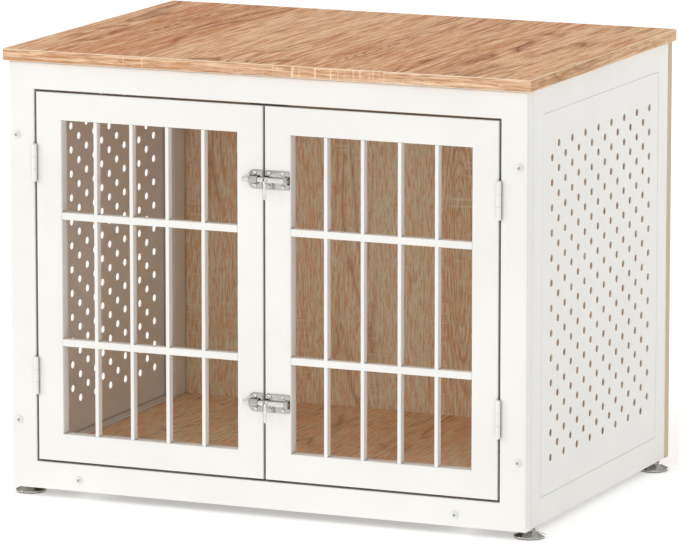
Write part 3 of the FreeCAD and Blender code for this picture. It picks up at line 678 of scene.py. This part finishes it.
def build_top_board(made):
    """The top: laminate face, edge bands and rounded rims, the rims in a pale print that is a painted
    highlight.
    """
    low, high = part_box("top_board")
    shape = bmesh.new()
    bmesh.ops.create_cube(shape, size=1.0)
    for vertex in shape.verts:
        vertex.co = Vector(low[k] + (vertex.co[k] + 0.5) * (high[k] - low[k]) for k in range(3))
    bmesh.ops.bevel(shape, geom=list(shape.edges), offset=BAND_ROUND * MM, segments=4, profile=0.5,
                    affect="EDGES")
    materials = ["top", "band_x", "band_y", "rim"]
    for face in shape.faces:
        up = abs(face.normal.z)
        if up < BAND_UP:
            looks_forward = abs(face.normal.y) > abs(face.normal.x)
            face.material_index = materials.index("band_x" if looks_forward else "band_y")
        elif up < RIM_UP:
            face.material_index = materials.index("rim")
    board = add_piece("top_board_panel", shape, "crate", made["top"], ["top_board"], 60.0)
    for name in materials[1:]:
        board.data.materials.append(made[name])


# Slide bolts ---------------------------------------------------------------------------------------


def face_on(height):
    """Outline points on a door's face: u to the right, v up, w out from the face."""
    return lambda u, v, w: at(u, -w, height + v)


def plate_outline(span, left_round, right_round):
    """A plate's outline, anticlockwise, with its own rounding at each end."""
    left, right = span
    top = PLATE_HALF_HEIGHT
    points = arc((left + left_round, top - left_round), left_round, 90, 180, 10)
    points += arc((left + left_round, -top + left_round), left_round, 180, 270, 10)
    points += arc((right - right_round, -top + right_round), right_round, 270, 360, 6)
    points += arc((right - right_round, top - right_round), right_round, 0, 90, 6)
    return points


def add_plate(shape, span, left_round, right_round, height):
    outline = plate_outline(span, left_round, right_round)
    slab(shape, outline, face_on(height), 0.0, PLATE_THICKNESS, PLATE_BEVEL)


def add_strap(shape, span, height):
    """A bent strap over the rod, with flared feet sunk a little into the plate."""
    rod_out = -ROD_Y
    foot_x = STRAP_OUTER + STRAP_FOOT
    foot_out = PLATE_THICKNESS + STRAP_FOOT
    sunk = PLATE_THICKNESS * STRAP_SINK
    outline = [(-foot_x, sunk)]
    outline += arc((-foot_x, foot_out), STRAP_FOOT, 270, 360, 5)
    outline += arc((0.0, rod_out), STRAP_OUTER, 180, 0, 20)
    outline += arc((foot_x, foot_out), STRAP_FOOT, 180, 270, 5)
    outline += [(foot_x, sunk), (STRAP_INNER, sunk)]
    outline += arc((0.0, rod_out), STRAP_INNER, 0, 180, 20)
    outline += [(-STRAP_INNER, sunk)]
    outline.reverse()
    slab(shape, outline, lambda u, v, w: at(w, -v, height + u), span[0], span[1], STRAP_BEVEL)


def add_screw_head(shape, x, z):
    """A pan head with a cross recess."""
    rings = []
    for share, level in SCREW_DOME:
        ring = []
        for index in range(SCREW_SEGMENTS):
            angle = 2 * math.pi * index / SCREW_SEGMENTS + SCREW_TURN
            u = SCREW_RADIUS * share * math.cos(angle)
            v = SCREW_RADIUS * share * math.sin(angle)
            in_cross = min(abs(u), abs(v)) < CROSS_HALF_WIDTH and max(abs(u), abs(v)) < CROSS_REACH
            sunk = CROSS_DEPTH if in_cross else 0.0
            ring.append(at(x + u, -PLATE_THICKNESS - SCREW_HEIGHT * level + sunk, z + v))
        rings.append(ring)
    ring_strip(shape, rings)


def add_rod(shape, height):
    """The sliding rod with softly rounded ends."""
    start, end = ROD_SPAN
    profile = arc((ROD_RADIUS - ROD_SOFT, start + ROD_SOFT), ROD_SOFT, -90, 0, 6)
    profile += arc((ROD_RADIUS - ROD_SOFT, end - ROD_SOFT), ROD_SOFT, 0, 90, 6)
    lathe(shape, profile, (0.0, ROD_Y, height), WIDTH)


def add_collar(shape, height):
    """The ring round the rod that the handle hangs from."""
    half = HANDLE_RADIUS
    shoulder = COLLAR_RADIUS - COLLAR_SOFT
    profile = [(COLLAR_BORE, -half), (shoulder, -half), (COLLAR_RADIUS, COLLAR_SOFT - half),
               (COLLAR_RADIUS, half - COLLAR_SOFT), (shoulder, half), (COLLAR_BORE, half),
               (COLLAR_BORE, -half)]
    lathe(shape, profile, (HANDLE_X, ROD_Y, height), WIDTH, closed_ends=False)


def handle_path():
    """The handle's middle line, collar to tip: (y, z, run in y, run in z, share of its radius)."""
    path = []
    for angle in range(30, 91, 10):
        turn = math.radians(angle)
        y = HANDLE_Y + HANDLE_BEND - HANDLE_BEND * math.sin(turn)
        z = -HANDLE_BEND + HANDLE_BEND * math.cos(turn)
        path.append((y, z, -math.cos(turn), -math.sin(turn), 1.0))
    tip_start = -HANDLE_DROP + HANDLE_TIP
    for z in (*HANDLE_RINGS_Z, tip_start):
        path.append((HANDLE_Y, z, 0.0, -1.0, 1.0))
    for angle in range(15, 91, 15):
        turn = math.radians(angle)
        share = 1 - HANDLE_TIP / HANDLE_RADIUS * (1 - math.cos(turn))
        path.append((HANDLE_Y, tip_start - HANDLE_TIP * math.sin(turn), 0.0, -1.0, share))
    return path


def add_handle(shape, height):
    """The bent handle, as a skin round its middle line."""
    segments = 24
    rings = []
    for y, z, run_y, run_z, share in handle_path():
        ring = []
        for index in range(segments):
            angle = 2 * math.pi * index / segments
            side = HANDLE_RADIUS * share * math.cos(angle)
            lift = HANDLE_RADIUS * share * math.sin(angle)
            ring.append(at(HANDLE_X + side, y - run_z * lift, height + z + run_y * lift))
        rings.append(ring)
    ring_strip(shape, rings)


def build_latch(made, level, height):
    """One slide bolt without its screws: body plate, keeper plate, rod and handle."""
    body = bmesh.new()
    add_plate(body, BODY_PLATE, BODY_PLATE_ROUND, BODY_PLATE_ROUND, height)
    for span in BODY_STRAPS:
        add_strap(body, span, height)
    add_piece(level + "_bolt_body_plate", body, "right_door", made["pressed_chrome"],
              [level + "_latch_body"])

    keeper = bmesh.new()
    add_plate(keeper, KEEPER_PLATE, KEEPER_LEFT_ROUND, KEEPER_RIGHT_ROUND, height)
    add_strap(keeper, KEEPER_STRAP, height)
    add_piece(level + "_bolt_keeper_plate", keeper, "left_door", made["pressed_chrome"],
              [level + "_latch_keeper"])

    rod = bmesh.new()
    add_rod(rod, height)
    add_piece(level + "_bolt_rod", rod, level + "_bolt", made["chrome"],
              [level + "_latch_rod"])

    handle = bmesh.new()
    add_collar(handle, height)
    add_handle(handle, height)
    add_piece(level + "_bolt_handle", handle, level + "_handle", made["chrome"],
              [level + "_latch_handle"])


def build_latch_screws(made):
    body_screws = bmesh.new()
    keeper_screws = bmesh.new()
    for height in LATCH_HEIGHTS.values():
        for z in (height - SCREW_DZ, height + SCREW_DZ):
            for x in BODY_SCREWS_X:
                add_screw_head(body_screws, x, z)
            add_screw_head(keeper_screws, KEEPER_SCREW_X, z)
    add_piece("bolt_body_screw_heads", body_screws, "right_door", made["chrome"],
              ["latch_body_screws"])
    add_piece("bolt_keeper_screw_heads", keeper_screws, "left_door", made["chrome"],
              ["latch_keeper_screws"])


# Levelling feet ------------------------------------------------------------------------------------


def foot_profile():
    """Half the outline of a spun foot, from the middle of its base up to its stud: (radius, height)."""
    points = [(FOOT_MIDDLE, FOOT_BOTTOM)]
    points += arc((20.5, -13.0), 2.0, -90, 0, 6)
    points += [(22.5, -12.0)]
    points += arc((21.3, -11.9), 1.2, 15, 75, 4)
    points += [(20.6, -10.35), (18.0, -9.05), (14.5, -7.2), (11.5, -5.5), (10.0, -4.4), (9.6, -3.9),
               (9.5, -3.2), (9.5, -2.1), (9.2, -1.7), (8.7, FOOT_NECK_TOP)]
    points += [(FOOT_STUD_RADIUS, FOOT_NECK_TOP), (FOOT_STUD_RADIUS, FOOT_STUD_TOP),
               (FOOT_MIDDLE, FOOT_STUD_TOP)]
    return points


def build_feet(made):
    for name, (x, y) in FOOT_PLACES.items():
        shape = bmesh.new()
        lathe(shape, foot_profile(), (x, y, 0.0), HEIGHT, FOOT_SEGMENTS, closed_ends=False)
        bmesh.ops.remove_doubles(shape, verts=shape.verts, dist=FOOT_MERGE * MM)
        add_piece("levelling_foot_" + name, shape, "foot_" + name, made["foot_chrome"],
                  ["foot_" + name])


# Carried-over nodes --------------------------------------------------------------------------------


def set_material(obj, material):
    """One material in every slot of a carried-over node."""
    if not obj.material_slots:
        obj.data.materials.append(material)
    for slot in obj.material_slots:
        slot.link = "OBJECT"
        slot.material = material


def finish_carried_nodes(made):
    """A finish for every CAD node: its own where it has one, and otherwise its record slot's."""
    by_slot = {"white_coat": "white", "white_screw": "screw_white", "chrome_plate": "chrome",
               "zinc_steel": "zinc", "oak_board": "top", "oak_back": "back"}
    own = {"floor_board": "floor", "front_frame_stiles": "front_stiles", "front_frame_rails": "front_rails"}
    for side in ("left", "right"):
        for part in ("door_stiles", "door_rails"):
            own[side + "_" + part] = side + "_" + part
        own[side + "_side_sheet"] = "sheet_white"
        own[side + "_side_posts"] = "side_posts"
        own[side + "_side_rails"] = "side_rails"
    for part in frame["record"]["subparts"]:
        node = part["node"]
        set_material(frame["nodes"][node], made[own.get(node, by_slot[part["material_slot"]])])


# Stage, light and camera ---------------------------------------------------------------------------


def build_stage():
    """A plain pale floor that glows a little, so that it stays near white."""
    mesh = bpy.data.meshes.new("floor")
    shape = bmesh.new()
    bmesh.ops.create_grid(shape, x_segments=8, y_segments=8, size=FLOOR_REACH)
    shape.to_mesh(mesh)
    shape.free()
    floor = bpy.data.objects.new("studio_floor", mesh)
    bpy.context.scene.collection.objects.link(floor)
    nodes = Nodes("studio_floor")
    dark, light = FLOOR_SHADES
    tone = nodes.mix(nodes.noise(nodes.place, 2.0, 2.0), srgb(*dark), srgb(*light))
    mesh.materials.append(nodes.finish(Base_Color=tone, Roughness=0.9, Specular_IOR_Level=0.1,
                                       Emission_Color=(1.0, 1.0, 1.0, 1.0), Emission_Strength=FLOOR_GLOW))


def soft_light(name, place, target, size, watts):
    light = bpy.data.lights.new(name, "AREA")
    light.shape = "RECTANGLE"
    light.size, light.size_y = size
    light.energy = watts
    obj = bpy.data.objects.new(name, light)
    obj.location = place
    obj.rotation_euler = (Vector(target) - Vector(place)).to_track_quat("-Z", "Y").to_euler()
    obj.visible_camera = False
    bpy.context.scene.collection.objects.link(obj)


def build_world():
    """A studio that is brighter in front and overhead."""
    world = bpy.data.worlds.new("studio")
    bpy.context.scene.world = world
    world.use_nodes = True
    tree = world.node_tree
    background = tree.nodes["Background"]
    background.inputs["Color"].default_value = WORLD_COLOUR
    place = tree.nodes.new("ShaderNodeTexCoord")
    axes = tree.nodes.new("ShaderNodeSeparateXYZ")
    tree.links.new(place.outputs["Generated"], axes.inputs[0])
    total = tree.nodes.new("ShaderNodeValue")
    total.outputs[0].default_value = WORLD_BASE
    for axis, strength in WORLD_LOBES:
        lobe = tree.nodes.new("ShaderNodeMath")
        lobe.operation = "MULTIPLY"
        lobe.inputs[1].default_value = strength
        tree.links.new(axes.outputs[axis], lobe.inputs[0])
        bright_half = tree.nodes.new("ShaderNodeMath")
        bright_half.operation = "MAXIMUM"
        bright_half.inputs[1].default_value = 0.0
        tree.links.new(lobe.outputs[0], bright_half.inputs[0])
        together = tree.nodes.new("ShaderNodeMath")
        tree.links.new(total.outputs[0], together.inputs[0])
        tree.links.new(bright_half.outputs[0], together.inputs[1])
        total = together
    tree.links.new(total.outputs[0], background.inputs["Strength"])


def build_lamps():
    """A soft lamp at the left, and one behind at the right."""
    soft_light("key", KEY_PLACE, KEY_TARGET, KEY_SIZE, KEY_WATTS)
    soft_light("rim", RIM_PLACE, RIM_TARGET, RIM_SIZE, RIM_WATTS)


def build_camera():
    camera = bpy.data.cameras.new("camera")
    camera.lens = CAMERA_LENS
    camera.sensor_width = SENSOR_WIDTH
    camera.clip_end = 100.0
    obj = bpy.data.objects.new("camera", camera)
    obj.location = CAMERA_PLACE
    obj.rotation_euler = (math.radians(90 - CAMERA_PITCH), 0, math.radians(CAMERA_YAW))
    bpy.context.scene.collection.objects.link(obj)
    bpy.context.scene.camera = obj
    bpy.context.scene.view_settings.view_transform = "Standard"


def main():
    made = {**build_coats(), **build_platings(), **build_oaks()}
    finish_carried_nodes(made)
    build_top_board(made)
    for level, height in LATCH_HEIGHTS.items():
        build_latch(made, level, height)
    build_latch_screws(made)
    build_feet(made)
    build_stage()
    build_world()
    build_lamps()
    build_camera()


main()
